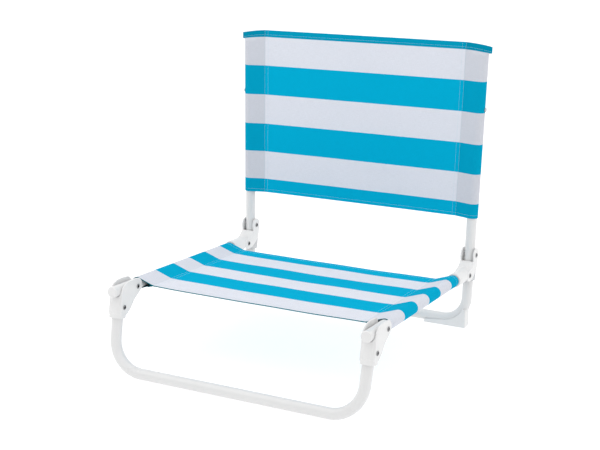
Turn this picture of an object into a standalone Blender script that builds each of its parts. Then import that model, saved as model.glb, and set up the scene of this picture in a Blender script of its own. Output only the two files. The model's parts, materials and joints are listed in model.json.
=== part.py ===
"""Folding low camp chair: sling seat and sling back on tube frames, with legs and back that fold flat.

Units are metres. X runs across the chair, Y from front to rear and Z up. The origin is on the floor under
the middle of the chair's box. Side views are worked out as (y, z) pairs.
"""

import math

import bmesh
import bpy
from mathutils import Matrix, Vector

MM = 0.001
GAP = 0.3 * MM                     # between pieces that touch

# Tubes
TUBE_R = 11.0 * MM
TUBE_WALL = 1.2 * MM
BEND_R = 50.0 * MM
FRONT_BEND_R = 64.0 * MM
RAIL_X = 268.0 * MM                # half the spacing of the seat rails
TUBE_STEPS = 4                     # bevel resolution, for twelve sides

# Pivots and bars in the side view
FRONT_PIVOT = Vector((-231.5, 160.0)) * MM
FRONT_FIXING = FRONT_PIVOT + Vector((-49.0, -29.0)) * MM
FRONT_BAR = Vector((-309.5, 11.0)) * MM
LEG_PIVOT = FRONT_PIVOT + Vector((455.0, -34.0)) * MM
BACK_PIVOT = FRONT_PIVOT + Vector((493.0, 1.0)) * MM
REAR_BAR = Vector((249.5, 13.5)) * MM
REAR_LEG_TOP = FRONT_PIVOT + Vector((494.4, -29.8)) * MM
BACK_TOP = FRONT_PIVOT + Vector((514.2, 452.2)) * MM

FRONT_BAR_X = 264.5 * MM           # the front legs close in a little towards the floor
BACK_TOP_X = 274.2 * MM            # the spreader holds the uprights slightly apart at the top

# Fabric
CLOTH = 1.2 * MM
POCKET_R = TUBE_R + GAP + CLOTH
SEAM_INSET = 45.0 * MM
SEAT_FRONT = 18.0 * MM             # along the rail, behind the front pivot
SEAT_REAR = 392.0 * MM
NOTCH_NEAR = 12.4 * MM             # from the rail, where the folded inner cheek enters the front hem
NOTCH_FAR = 15.2 * MM
BACK_LOW = 81.5 * MM               # along the upright, above the back pivot
SPREADER_UP = 314.0 * MM
SPREADER_BOW = 38.0 * MM
SPREADER_R = 6.0 * MM

# Moulded forks
FRONT_CHEEK_X = 14.6 * MM          # half widths over and between the cheeks
FRONT_SLOT_X = 11.5 * MM
CLOTH_SLOT_X = POCKET_R + GAP      # where the folded cheeks pass the seat pocket
REAR_CHEEK_X = 15.6 * MM
REAR_SLOT_X = 13.2 * MM            # beside the knuckles, and beside the uprights
UPRIGHT_SLOT_X = 12.4 * MM
SOCKET_R = 15.0 * MM              # the round socket that the rail runs into
RIVET_R = 3.0 * MM

rail_dir = (LEG_PIVOT - FRONT_PIVOT).normalized()
front_leg_dir = (FRONT_BAR - FRONT_FIXING).normalized()
rear_leg_dir = (REAR_BAR - REAR_LEG_TOP).normalized()
back_dir = (BACK_TOP - BACK_PIVOT).normalized()
back_length = (BACK_TOP - BACK_PIVOT).length

for old in list(bpy.data.objects):
    bpy.data.objects.remove(old, do_unlink=True)

chair = bpy.data.collections.new("folding_camp_chair")
cutters = bpy.data.collections.new("cutters")
bpy.context.scene.collection.children.link(chair)
bpy.context.scene.collection.children.link(cutters)


# Materials

def finish(name, color, roughness, metallic=0.0):
    material = bpy.data.materials.new(name)
    material.use_nodes = True
    shader = material.node_tree.nodes["Principled BSDF"]
    shader.inputs["Base Color"].default_value = (*color, 1.0)
    shader.inputs["Roughness"].default_value = roughness
    shader.inputs["Metallic"].default_value = metallic
    return material


white_paint = finish("white_paint", (0.86, 0.86, 0.87), 0.35)
white_plastic = finish("white_plastic", (0.88, 0.88, 0.88), 0.45)
steel = finish("steel", (0.55, 0.55, 0.56), 0.3, 1.0)
turquoise_cloth = finish("turquoise_cloth", (0.02, 0.40, 0.62), 0.8)


# Building blocks

def lift(point, x=0.0):
    """A side view point as a place in space."""
    return Vector((x, point[0], point[1]))


def side_frame(origin, direction, x=0.0):
    """A frame at a side view point: X across, Z along the direction, Y a quarter turn from it.

    Y comes out below a rail, behind an upright and in front of a leg.
    """
    along = Vector((0.0, direction[0], direction[1])).normalized()
    across = Vector((1.0, 0.0, 0.0))
    matrix = Matrix((across, along.cross(across), along)).transposed().to_4x4()
    matrix.translation = lift(origin, x)
    return matrix


def add(name, mesh, matrix, material=None):
    obj = bpy.data.objects.new(name, mesh)
    obj.matrix_world = matrix
    if material is None:
        cutters.objects.link(obj)
        obj.hide_render = True
        obj.display_type = "WIRE"
        return obj
    chair.objects.link(obj)
    mesh.materials.clear()
    mesh.materials.append(material)
    mesh.shade_smooth()
    mesh.set_sharp_from_angle(angle=math.radians(35))
    return obj


def curve_to_mesh(curve, matrix):
    """The closed mesh of a curve, with its caps welded on."""
    holder = bpy.data.objects.new("holder", curve)
    bpy.context.scene.collection.objects.link(holder)
    holder.matrix_world = matrix
    bpy.context.view_layer.update()
    depsgraph = bpy.context.evaluated_depsgraph_get()
    mesh = bpy.data.meshes.new_from_object(holder.evaluated_get(depsgraph))
    bpy.data.objects.remove(holder)
    shape = bmesh.new()
    shape.from_mesh(mesh)
    bmesh.ops.remove_doubles(shape, verts=shape.verts, dist=1e-6)
    shape.to_mesh(mesh)
    shape.free()
    return mesh


def sweep(path, radius, steps=TUBE_STEPS):
    """A round bar along a path in space."""
    curve = bpy.data.curves.new("path", "CURVE")
    curve.dimensions = "3D"
    curve.bevel_depth = radius
    curve.bevel_resolution = steps
    curve.render_resolution_u = 0
    curve.use_fill_caps = True
    spline = curve.splines.new("POLY")
    spline.points.add(len(path) - 1)
    for point, place in zip(spline.points, path):
        point.co = (*place, 1.0)
    return curve_to_mesh(curve, Matrix())


def plate(outlines, half_thickness):
    """A flat plate from closed outlines in X and Y, the later ones being holes, centred on Z = 0."""
    curve = bpy.data.curves.new("outline", "CURVE")
    curve.dimensions = "2D"
    curve.fill_mode = "BOTH"
    curve.extrude = half_thickness
    curve.render_resolution_u = 0
    for outline in outlines:
        spline = curve.splines.new("POLY")
        spline.points.add(len(outline) - 1)
        for point, place in zip(spline.points, outline):
            point.co = (place[0], place[1], 0.0, 1.0)
        spline.use_cyclic_u = True
    return curve_to_mesh(curve, Matrix())


def turned(name, profile, matrix, material=None, steps=12):
    """A turned piece about its own Z, from a profile of (radius, height) that runs from top to bottom."""
    mesh = bpy.data.meshes.new(name)
    mesh.from_pydata([(r, 0.0, z) for r, z in profile], [(i, i + 1) for i in range(len(profile) - 1)], [])
    obj = add(name, mesh, matrix, material)
    screw = obj.modifiers.new("turn", "SCREW")
    screw.axis = "Z"
    screw.steps = steps
    screw.render_steps = steps
    screw.use_merge_vertices = True
    screw.merge_threshold = 1e-5
    screw.use_smooth_shade = True
    return obj


def ring(name, profile, matrix, material, steps=12):
    """A turned piece with a hole: its profile closes on itself."""
    return turned(name, profile + profile[:1], matrix, material, steps)


def round_bar_cutter(name, center, half_length, radius):
    """A cutter along X, for a rivet or a pin."""
    across = Matrix.Translation(center) @ Matrix.Rotation(math.pi / 2, 4, "Y")
    return turned(name, [(0.0, half_length), (radius, half_length), (radius, -half_length),
                         (0.0, -half_length)], across)


def box_cutter(name, matrix, low, high):
    """A cutter that fills a box in the given frame."""
    mesh = bpy.data.meshes.new(name)
    shape = bmesh.new()
    size = Vector(high) - Vector(low)
    middle = (Vector(high) + Vector(low)) / 2
    bmesh.ops.create_cube(shape, size=1.0, matrix=Matrix.Translation(middle) @ Matrix.Diagonal((*size, 1.0)))
    shape.to_mesh(mesh)
    shape.free()
    return add(name, mesh, matrix)


def combine(obj, other, operation="DIFFERENCE"):
    modifier = obj.modifiers.new(other.name, "BOOLEAN")
    modifier.operation = operation
    modifier.solver = "EXACT"
    modifier.object = other


def soften(obj, width, segments=2):
    bevel = obj.modifiers.new("soften", "BEVEL")
    bevel.width = width
    bevel.segments = segments
    bevel.limit_method = "ANGLE"
    bevel.angle_limit = math.radians(40)


def arc(center, radius, start, end, steps):
    """Points on a circle, with angles in degrees."""
    angles = [math.radians(start + (end - start) * i / steps) for i in range(steps + 1)]
    return [Vector((center[0] + radius * math.cos(t), center[1] + radius * math.sin(t))) for t in angles]


def bent(corners, radius, steps=6):
    """A path through its corners with each inner corner rounded to the bend radius."""
    path = [corners[0]]
    for before, corner, after in zip(corners, corners[1:], corners[2:]):
        back = (before - corner).normalized()
        ahead = (after - corner).normalized()
        half = back.angle(ahead) / 2
        center = corner + (back + ahead).normalized() * radius / math.sin(half)
        reach = radius / math.tan(half)
        start = corner + back * reach - center
        end = corner + ahead * reach - center
        turn = start.angle(end)
        for i in range(steps + 1):
            t = i / steps
            spot = start * math.sin((1 - t) * turn) + end * math.sin(t * turn)
            path.append(center + spot / math.sin(turn))
    path.append(corners[-1])
    return path


def longer(path, reach):
    """The same path run on past both ends."""
    head = path[0] + (path[0] - path[1]).normalized() * reach
    tail = path[-1] + (path[-1] - path[-2]).normalized() * reach
    return [head] + path + [tail]


def tube(name, path, radius=TUBE_R, wall=TUBE_WALL, steps=TUBE_STEPS):
    """A hollow tube with open ends."""
    obj = add(name, sweep(path, radius, steps), Matrix(), white_paint)
    combine(obj, add(name + "_bore", sweep(longer(path, 5 * MM), radius - wall, steps), Matrix()))
    return obj


def drill(obj, name, center, radius):
    """A hole along X through everything in the piece at that place."""
    combine(obj, round_bar_cutter(name, center, 25 * MM, radius))


def side_plate(name, outline, half_thickness, x, material=None):
    """A plate in the side view, centred on a place across the chair."""
    upright = Matrix(((0, 0, 1, x), (1, 0, 0, 0), (0, 1, 0, 0), (0, 0, 0, 1)))
    return add(name, plate([outline], half_thickness), upright, material)


def rivet(name, center, grip):
    """A tubular rivet across X: rolled heads with a hollow middle, over a plain shank."""
    top = grip + GAP + 1.6 * MM
    head = 5.0 * MM
    half = [(0.0, top - 2.2 * MM), (1.9 * MM, top - 2.2 * MM), (2.7 * MM, top), (4.1 * MM, top - 0.3 * MM),
            (head, grip + GAP), (RIVET_R, grip + GAP)]
    profile = half + [(r, -z) for r, z in reversed(half)]
    across = Matrix.Translation(center) @ Matrix.Rotation(math.pi / 2, 4, "Y")
    return turned(name, profile, across, steel)


def end_plug(name, origin, direction, x, insert, dome):
    """A plug in a tube end that faces along the direction, rounded at its rim."""
    rim = TUBE_R
    neck = TUBE_R - TUBE_WALL - GAP
    base = GAP
    profile = [(0.0, base + dome), (rim - 2.6 * MM, base + dome), (rim - 0.8 * MM, base + dome * 0.72),
               (rim, base + dome * 0.3), (rim, base), (neck, base), (neck, -insert), (0.0, -insert)]
    return turned(name, profile, side_frame(origin, direction, x), white_plastic)


# Fabric

def sling_section(half_spacing):
    """Outline of a sling across its rails, with a hole for each rail.

    Each end is a circle round the rail, and straight lines run from it to the seam on the middle plane.
    """
    lean = math.degrees(math.acos(POCKET_R / SEAM_INSET))
    seam = half_spacing - SEAM_INSET
    right = [Vector((seam, CLOTH / 2))]
    right += arc((half_spacing, 0.0), POCKET_R, 180 - lean, lean - 180, 14)
    right += [Vector((seam, -CLOTH / 2))]
    left = [Vector((-p.x, p.y)) for p in reversed(right)]
    holes = [arc((side * half_spacing, 0.0), TUBE_R + GAP, 0, 342, 19) for side in (-1, 1)]
    return [right + left] + holes


def sling(name, origin, direction, start, end, half_spacing, widening=0.0):
    """A sewn sling between two lengths along its rails, wider by the widening at its far end."""
    mesh = plate(sling_section(half_spacing), (end - start) / 2)
    for vertex in mesh.vertices:
        if vertex.co.z > 0:
            vertex.co.x *= 1 + widening / half_spacing
    middle = origin + direction * (start + end) / 2
    return add(name, mesh, side_frame(middle, direction), turquoise_cloth)


# Seat: rails, plugs, sling and rear brackets

def rear_bracket_outline():
    """Side outline of the rear fork's cheeks: a lobe round each pivot, and a gusset to the rail socket."""
    spots = [(486, -8), (479.5, -11), (466, -20.5), (446, -25.5), (440, -29.5)]
    front = [FRONT_PIVOT + Vector(spot) * MM for spot in spots]
    low = arc(LEG_PIVOT, 13.5 * MM, 178, 262, 5)
    heel = [(470, -47.5), (488, -39.5), (500, -31), (504.5, -20)]
    heel = [FRONT_PIVOT + Vector(spot) * MM for spot in heel]
    high = arc(BACK_PIVOT, 15.5 * MM, -28, 205, 12)
    return low + heel + high + front[1:]


def rear_bracket(side, label):
    x = side * RAIL_X
    body = side_plate("rear_bracket_" + label, rear_bracket_outline(), REAR_CHEEK_X, x, white_plastic)
    soften(body, 1.2 * MM)
    rail_frame = side_frame(LEG_PIVOT, rail_dir, x)
    mouth = -60.3 * MM
    socket = turned("socket_" + label, [(0.0, 12 * MM), (SOCKET_R, 12 * MM), (SOCKET_R, mouth + 1 * MM),
                                        (SOCKET_R - 1 * MM, mouth), (0.0, mouth)], rail_frame, None, 32)
    combine(body, socket, "UNION")
    shelf_top = BACK_PIVOT.y - 23.5 * MM
    shelf_low = LEG_PIVOT.y + 8 * MM
    lip_top = BACK_PIVOT.y - 11.6 * MM
    lip_rear = BACK_PIVOT.x - 12.2 * MM
    upper = [Vector((lip_rear - 60 * MM, lip_top)), Vector((lip_rear, lip_top)),
             Vector((lip_rear, shelf_top)), Vector((lip_rear + 60 * MM, shelf_top)),
             Vector((lip_rear + 60 * MM, lip_top + 60 * MM)),
             Vector((lip_rear - 60 * MM, lip_top + 60 * MM))]
    slot_front = LEG_PIVOT.x - 11.4 * MM
    slot_rear = LEG_PIVOT.x + 80 * MM
    lower = [Vector((slot_front, shelf_low)), Vector((slot_rear, shelf_low)),
             Vector((slot_rear, 60 * MM)), Vector((slot_front, 60 * MM))]
    bore = TUBE_R + GAP
    rail_bore = turned("rail_bore_" + label, [(0.0, 12.5 * MM), (bore, 12.5 * MM), (bore, -80 * MM),
                                              (0.0, -80 * MM)], rail_frame, None, 32)
    combine(body, side_plate("upright_slot_" + label, upper, UPRIGHT_SLOT_X, x))
    combine(body, side_plate("leg_slot_" + label, lower, REAR_SLOT_X, x))
    combine(body, rail_bore)
    drill(body, "back_pivot_hole_" + label, lift(BACK_PIVOT, x), RIVET_R + GAP)
    drill(body, "leg_pivot_hole_" + label, lift(LEG_PIVOT, x), RIVET_R + GAP)


def seat():
    nose = FRONT_PIVOT - rail_dir * 66.0 * MM
    tail = LEG_PIVOT + rail_dir * 9.5 * MM
    for side, label in ((-1, "left"), (1, "right")):
        x = side * RAIL_X
        rail = tube("seat_rail_" + label, [lift(nose, x), lift(tail, x)])
        drill(rail, "front_pivot_bore_" + label, lift(FRONT_PIVOT, x), RIVET_R + GAP)
        drill(rail, "leg_pivot_bore_" + label, lift(LEG_PIVOT, x), RIVET_R + GAP)
        end_plug("rail_nose_plug_" + label, nose, -rail_dir, x, 16 * MM, 3.5 * MM)
        end_plug("rail_tail_plug_" + label, tail, rail_dir, x, 4.5 * MM, 1.5 * MM)
        rear_bracket(side, label)
        rivet("leg_pivot_rivet_" + label, lift(LEG_PIVOT, x), REAR_CHEEK_X)
    cloth = sling("seat_sling", FRONT_PIVOT, rail_dir, SEAT_FRONT, SEAT_REAR, RAIL_X)
    for side, label in ((-1, "left"), (1, "right")):
        near, far = sorted((-side * NOTCH_NEAR, -side * NOTCH_FAR))
        rail_frame = side_frame(FRONT_PIVOT, rail_dir, side * RAIL_X)
        combine(cloth, box_cutter("cheek_notch_" + label, rail_frame, (near, -2.4 * MM, 16 * MM),
                                  (far, 12 * MM, 31 * MM)))


# Front legs: one bent tube and two forked brackets

def front_bracket_outline():
    """Side outline of the front fork: a lobe round the pivot over a plate that runs down to the sleeve."""
    across = Vector((-front_leg_dir.y, front_leg_dir.x))
    low_rear = FRONT_FIXING + front_leg_dir * 16 * MM + across * 11 * MM
    low_front = FRONT_FIXING + front_leg_dir * 16 * MM - across * 11 * MM
    high_front = FRONT_FIXING - front_leg_dir * 16 * MM - across * 11 * MM
    brow = [(-56, 1), (-52, 9), (-44, 15), (-32, 18.5), (-12, 18)]
    brow = [FRONT_PIVOT + Vector(spot) * MM for spot in brow]
    lobe = arc(FRONT_PIVOT, 16.5 * MM, 90, -28, 8)
    rear = [FRONT_PIVOT + Vector(spot) * MM for spot in [(6, -13), (-11.5, -22), (-26, -37)]]
    return [low_front, high_front] + brow + lobe + rear + [low_rear]


def sleeve_section(half_x, half_y, corner):
    """A rectangle with round corners."""
    outline = []
    for quarter, (sx, sy) in enumerate(((1, 1), (-1, 1), (-1, -1), (1, -1))):
        center = (sx * (half_x - corner), sy * (half_y - corner))
        outline += arc(center, corner, quarter * 90, quarter * 90 + 90, 4)
    return outline


def sleeve(name, x, start, end, half_x, half_y, corner):
    """A round-cornered block along the front leg, between two distances below the fixing rivet."""
    mesh = plate([sleeve_section(half_x, half_y, corner)], (end - start) / 2)
    middle = FRONT_FIXING + front_leg_dir * (start + end) / 2
    return add(name, mesh, side_frame(middle, front_leg_dir, x))


def front_bracket(side, label):
    x = side * RAIL_X
    body = side_plate("front_bracket_" + label, front_bracket_outline(), FRONT_CHEEK_X, x, white_plastic)
    soften(body, 1.3 * MM)
    combine(body, sleeve("sleeve_" + label, x, -20 * MM, 22.5 * MM, 14.2 * MM, 13.6 * MM, 9.5 * MM), "UNION")
    combine(body, sleeve("collar_" + label, x, 13 * MM, 22.2 * MM, 14.9 * MM, 14.4 * MM, 10 * MM), "UNION")

    leg_frame = side_frame(FRONT_FIXING, front_leg_dir, x)
    leg_bore = turned("leg_bore_" + label, [(0.0, 40 * MM), (TUBE_R + GAP, 40 * MM), (TUBE_R + GAP, -13 * MM),
                                            (0.0, -13 * MM)], leg_frame, None, 32)
    rail_frame = side_frame(FRONT_PIVOT, rail_dir, x)
    trough = turned("trough_" + label, [(0.0, 60 * MM), (FRONT_SLOT_X, 60 * MM), (FRONT_SLOT_X, -110 * MM),
                                        (0.0, -110 * MM)], rail_frame, None, 32)
    slot = FRONT_SLOT_X
    above_rail = box_cutter("rail_gap_" + label, rail_frame, (-slot, -60 * MM, -110 * MM), (slot, 0, 60 * MM))
    fold_frame = side_frame(FRONT_PIVOT, front_leg_dir, x)
    rail_room = box_cutter("fold_gap_" + label, fold_frame, (-slot, -60 * MM, -2 * MM),
                           (slot, 11.8 * MM, 120 * MM))
    wide = CLOTH_SLOT_X
    cloth_room = box_cutter("cloth_gap_" + label, fold_frame, (-wide, -60 * MM, -20 * MM),
                            (wide, wide + GAP, 120 * MM))
    lobe_core = round_bar_cutter("lobe_core_" + label, lift(FRONT_PIVOT, x), 20 * MM, SEAT_FRONT - GAP)
    combine(cloth_room, lobe_core)
    for cutter in (leg_bore, trough, above_rail, rail_room, cloth_room):
        combine(body, cutter)
    drill(body, "front_pivot_hole_" + label, lift(FRONT_PIVOT, x), RIVET_R + GAP)
    drill(body, "fixing_hole_" + label, lift(FRONT_FIXING, x), RIVET_R + GAP)


def front_legs():
    top = FRONT_FIXING - front_leg_dir * 12 * MM
    neck = FRONT_FIXING + front_leg_dir * 30 * MM
    bar_end = lift(FRONT_BAR, FRONT_BAR_X)
    right = bent([lift(FRONT_BAR), bar_end, lift(neck, RAIL_X)], FRONT_BEND_R)[1:] + [lift(top, RAIL_X)]
    left = [Vector((-p.x, p.y, p.z)) for p in reversed(right)]
    frame = tube("front_leg_frame", left + right)
    for side, label in ((-1, "left"), (1, "right")):
        x = side * RAIL_X
        drill(frame, "fixing_bore_" + label, lift(FRONT_FIXING, x), RIVET_R + GAP)
        front_bracket(side, label)
        rivet("front_fixing_rivet_" + label, lift(FRONT_FIXING, x), FRONT_CHEEK_X)
        rivet("front_pivot_rivet_" + label, lift(FRONT_PIVOT, x), FRONT_CHEEK_X)


# Rear legs: one bent tube, two knuckles and two corner feet

KNUCKLE_IN = TUBE_R + GAP
KNUCKLE_OUT = KNUCKLE_IN + 1.6 * MM
PIN_DOWN = 14 * MM


def rear_path():
    low = lift(REAR_BAR, RAIL_X)
    right = bent([Vector((0.0, low.y, low.z)), low, lift(REAR_LEG_TOP, RAIL_X)], BEND_R)[1:]
    left = [Vector((-p.x, p.y, p.z)) for p in reversed(right)]
    return left + right


def knuckle(side, label):
    """A clip on the leg top: a plug in the tube, a top plate, and an ear on each side up to the pivot."""
    x = side * RAIL_X
    across = Vector((-rear_leg_dir.y, rear_leg_dir.x))
    top = REAR_LEG_TOP - rear_leg_dir * GAP
    ear_low = REAR_LEG_TOP + rear_leg_dir * 26 * MM
    outline = arc(LEG_PIVOT, 7.5 * MM, 80, 280, 8)
    outline += [ear_low - across * 7 * MM, ear_low + across * 8 * MM]
    lid = top - rear_leg_dir * 1.2 * MM
    outline += [lid + across * 10 * MM, lid - across * 10 * MM]
    body = side_plate("leg_knuckle_" + label, outline, KNUCKLE_OUT, x, steel)
    leg_frame = side_frame(REAR_LEG_TOP, rear_leg_dir, x)
    inside = box_cutter("knuckle_gap_" + label, leg_frame, (-KNUCKLE_IN, -60 * MM, -GAP),
                        (KNUCKLE_IN, 60 * MM, 60 * MM))
    front = box_cutter("knuckle_front_" + label, leg_frame, (-KNUCKLE_IN, 12 * MM, -40 * MM),
                       (KNUCKLE_IN, 60 * MM, 60 * MM))
    combine(body, inside)
    combine(body, front)
    plug_r = TUBE_R - TUBE_WALL - GAP
    plug = turned("knuckle_plug_" + label, [(0.0, 20 * MM), (plug_r, 20 * MM), (plug_r, -GAP - 0.5 * MM),
                                            (0.0, -GAP - 0.5 * MM)], leg_frame)
    combine(body, plug, "UNION")
    pin_at = lift(REAR_LEG_TOP + rear_leg_dir * PIN_DOWN, x)
    drill(body, "knuckle_pin_hole_" + label, pin_at, 2.5 * MM + GAP)
    drill(body, "knuckle_pivot_hole_" + label, lift(LEG_PIVOT, x), RIVET_R + GAP)
    half = KNUCKLE_OUT - 0.1 * MM
    turned("knuckle_pin_" + label, [(0.0, half), (2.5 * MM, half), (2.5 * MM, -half), (0.0, -half)],
           Matrix.Translation(pin_at) @ Matrix.Rotation(math.pi / 2, 4, "Y"), steel)


def corner_foot(side, label, channel):
    """A shoe that fills the corner under the bend, with a flat sole, wrapped round the tube's lower half."""
    bend = Vector((RAIL_X - BEND_R, REAR_BAR.y + BEND_R))
    outline = [Vector((178 * MM, 0.0)), Vector((272 * MM, 0.0)), Vector((272 * MM, 38.5 * MM))]
    outline += arc(bend, BEND_R + 1.5 * MM, -24, -88, 8)
    outline += [Vector((198 * MM, 10 * MM)), Vector((178 * MM, 7 * MM))]
    outline = [Vector((side * p.x, p.y)) for p in outline]
    facing = Matrix(((1, 0, 0, 0), (0, 0, -1, REAR_BAR.x), (0, 1, 0, 0), (0, 0, 0, 1)))
    foot = add("corner_foot_" + label, plate([outline], 13.2 * MM), facing, white_plastic)
    soften(foot, 1.0 * MM)
    combine(foot, channel)


def rear_legs():
    path = rear_path()
    frame = tube("rear_leg_frame", path)
    channel = add("foot_channel", sweep(longer(path, 5 * MM), TUBE_R + GAP), Matrix())
    for side, label in ((-1, "left"), (1, "right")):
        pin_at = lift(REAR_LEG_TOP + rear_leg_dir * PIN_DOWN, side * RAIL_X)
        drill(frame, "pin_bore_" + label, pin_at, 2.5 * MM + GAP)
        knuckle(side, label)
        corner_foot(side, label, channel)


# Back: two uprights, a bowed spreader behind them, and the sling

def upright_point(distance, side, back=0.0):
    """A place on an upright's axis, a distance above the pivot and moved towards the rear."""
    spot = BACK_PIVOT + back_dir * distance + Vector((back_dir.y, -back_dir.x)) * back
    reach = RAIL_X + (BACK_TOP_X - RAIL_X) * distance / back_length
    return lift(spot, side * reach)


def upright(side, label):
    low = upright_point(-18.5 * MM, side)
    high = upright_point(back_length - 27 * MM, side)
    post = tube("back_upright_" + label, [low, high])
    drill(post, "back_pivot_bore_" + label, lift(BACK_PIVOT, side * RAIL_X), RIVET_R + GAP)
    screw_at = upright_point(SPREADER_UP, side)
    drill(post, "spreader_screw_bore_" + label, screw_at, 2.5 * MM + GAP)
    along = (high - low).normalized()
    for name, place, direction, insert, dome in (("upright_foot_plug_", low, -along, 10 * MM, 1.5 * MM),
                                                 ("upright_top_plug_", high, along, 16 * MM, 3.0 * MM)):
        plug = end_plug(name + label, Vector((place.y, place.z)), Vector((direction.y, direction.z)), place.x,
                        insert, dome)
        plug.matrix_world = Matrix.Translation(place) @ direction.to_track_quat("Z", "Y").to_matrix().to_4x4()
    for name, offset in (("inner", -1), ("outer", 1)):
        face = (TUBE_R + UPRIGHT_SLOT_X) / 2
        thick = (UPRIGHT_SLOT_X - TUBE_R) / 2 - 0.25 * MM
        spot = lift(BACK_PIVOT, side * RAIL_X + offset * face)
        hole = RIVET_R + GAP
        rim = 7.5 * MM
        profile = [(hole, thick), (rim, thick), (rim, -thick), (hole, -thick)]
        ring("pivot_washer_" + name + "_" + label, profile,
             Matrix.Translation(spot) @ Matrix.Rotation(math.pi / 2, 4, "Y"), white_plastic)
    rivet("back_pivot_rivet_" + label, lift(BACK_PIVOT, side * RAIL_X), REAR_CHEEK_X)


def spreader_path():
    """Between the uprights, bowed to the rear as a parabola so that the bar stays off the sling."""
    reach = upright_point(SPREADER_UP, 1).x - TUBE_R - 1.2 * MM
    path = []
    steps = 14
    for i in range(steps + 1):
        x = reach * (2 * i / steps - 1)
        place = upright_point(SPREADER_UP, 1, SPREADER_BOW * (1 - (x / reach) ** 2))
        path.append(Vector((x, place.y, place.z)))
    return path


def spreader_screw(side, label):
    """A pan-head screw from outside the sling through the upright into the spreader's end."""
    spot = upright_point(SPREADER_UP, side)
    head_at = POCKET_R + GAP
    profile = [(0.0, head_at + 2.2 * MM), (3.0 * MM, head_at + 2.0 * MM), (4.6 * MM, head_at + 1.0 * MM),
               (4.6 * MM, head_at), (2.5 * MM, head_at), (2.5 * MM, -20 * MM), (0.0, -20 * MM)]
    outward = Matrix.Translation(spot) @ Matrix.Rotation(side * math.pi / 2, 4, "Y")
    turned("spreader_screw_" + label, profile, outward, steel)


def back():
    for side, label in ((-1, "left"), (1, "right")):
        upright(side, label)
        spreader_screw(side, label)
    path = spreader_path()
    tube("back_spreader", path, SPREADER_R, 1.0 * MM, 2)
    low = upright_point(BACK_LOW, 1)
    top = upright_point(back_length, 1)
    cloth = sling("back_sling", BACK_PIVOT, back_dir, BACK_LOW, back_length, low.x, top.x - low.x)
    for side, label in ((-1, "left"), (1, "right")):
        spot = upright_point(SPREADER_UP, side)
        drill(cloth, "sling_screw_hole_" + label, spot, 2.5 * MM + GAP)
    combine(cloth, add("spreader_channel", sweep(longer(path, 1.5 * MM), SPREADER_R + 2 * GAP, 2), Matrix()))


seat()
front_legs()
rear_legs()
back()
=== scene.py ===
# Low folding camp chair: painted tube frames, moulded forks and feet, striped canvas slings.
# Run in Blender 4.5. Metres, X across the chair, Y to the rear, Z up.

import json
import math

import bmesh
import bpy
import numpy as np
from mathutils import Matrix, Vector


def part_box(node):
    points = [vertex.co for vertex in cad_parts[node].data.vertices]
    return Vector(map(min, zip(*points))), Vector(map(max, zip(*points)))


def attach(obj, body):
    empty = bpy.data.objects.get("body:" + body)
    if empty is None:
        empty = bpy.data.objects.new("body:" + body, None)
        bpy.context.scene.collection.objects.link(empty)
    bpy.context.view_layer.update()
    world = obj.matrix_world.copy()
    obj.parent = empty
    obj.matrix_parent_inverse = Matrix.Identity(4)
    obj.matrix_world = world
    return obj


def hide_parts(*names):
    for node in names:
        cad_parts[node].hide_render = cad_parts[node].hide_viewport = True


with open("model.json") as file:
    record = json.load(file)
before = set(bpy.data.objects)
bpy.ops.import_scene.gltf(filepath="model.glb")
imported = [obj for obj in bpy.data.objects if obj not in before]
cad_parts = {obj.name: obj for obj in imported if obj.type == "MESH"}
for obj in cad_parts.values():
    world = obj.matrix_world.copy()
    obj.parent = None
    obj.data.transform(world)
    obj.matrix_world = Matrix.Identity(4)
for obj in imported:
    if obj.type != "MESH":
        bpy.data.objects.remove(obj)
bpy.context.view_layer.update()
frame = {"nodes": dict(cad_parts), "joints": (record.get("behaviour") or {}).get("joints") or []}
mm = 0.001
across = np.array([1.0, 0.0, 0.0])

# places read from the frame


def middleOf(node):
    low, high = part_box(node)
    return (np.array(low) + np.array(high)) / 2


def halfSizeOf(node):
    low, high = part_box(node)
    return (np.array(high) - np.array(low)) / 2


def pivotOf(joint):
    return np.array([j["pos_m"] for j in frame["joints"] if j["name"] == joint][0], float)


def unit(v):
    return v / np.linalg.norm(v)


frontPivot = pivotOf("front_leg_fold")
rearPivot = pivotOf("rear_leg_fold")
backPivot = pivotOf("back_fold")
tubeRadius = halfSizeOf("seat_rail_right")[0]
railX = middleOf("seat_rail_right")[0]
railDir = unit(rearPivot - frontPivot)
railUp = np.cross(across, railDir)
uprightHalf = halfSizeOf("back_upright_right")
backDir = unit(np.array([0.0, uprightHalf[1] - tubeRadius, uprightHalf[2]]))
backFront = np.cross(across, backDir)
sides = {"left": -1, "right": 1}

# camera

camera = {"azimuth": 26.4, "elevation": 15.88, "distance": 2.447, "target": (-0.0093, 0.0, 0.2581),
          "lens": 71.9, "sensor": 36, "clipEnd": 50}


def makeCamera(spec):
    # stands on a sphere round the target, at the azimuth and elevation, looking at the target
    az, el = math.radians(spec["azimuth"]), math.radians(spec["elevation"])
    away = Vector((math.sin(az) * math.cos(el), -math.cos(az) * math.cos(el), math.sin(el)))
    data = bpy.data.cameras.new("camera")
    data.lens = spec["lens"]
    data.sensor_width = spec["sensor"]
    data.clip_end = spec["clipEnd"]
    obj = bpy.data.objects.new("camera", data)
    obj.location = Vector(spec["target"]) + away * spec["distance"]
    obj.rotation_euler = (-away).to_track_quat("-Z", "Y").to_euler()
    bpy.context.scene.collection.objects.link(obj)
    bpy.context.scene.camera = obj


makeCamera(camera)
print("camera placed")

# mesh tools


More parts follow.
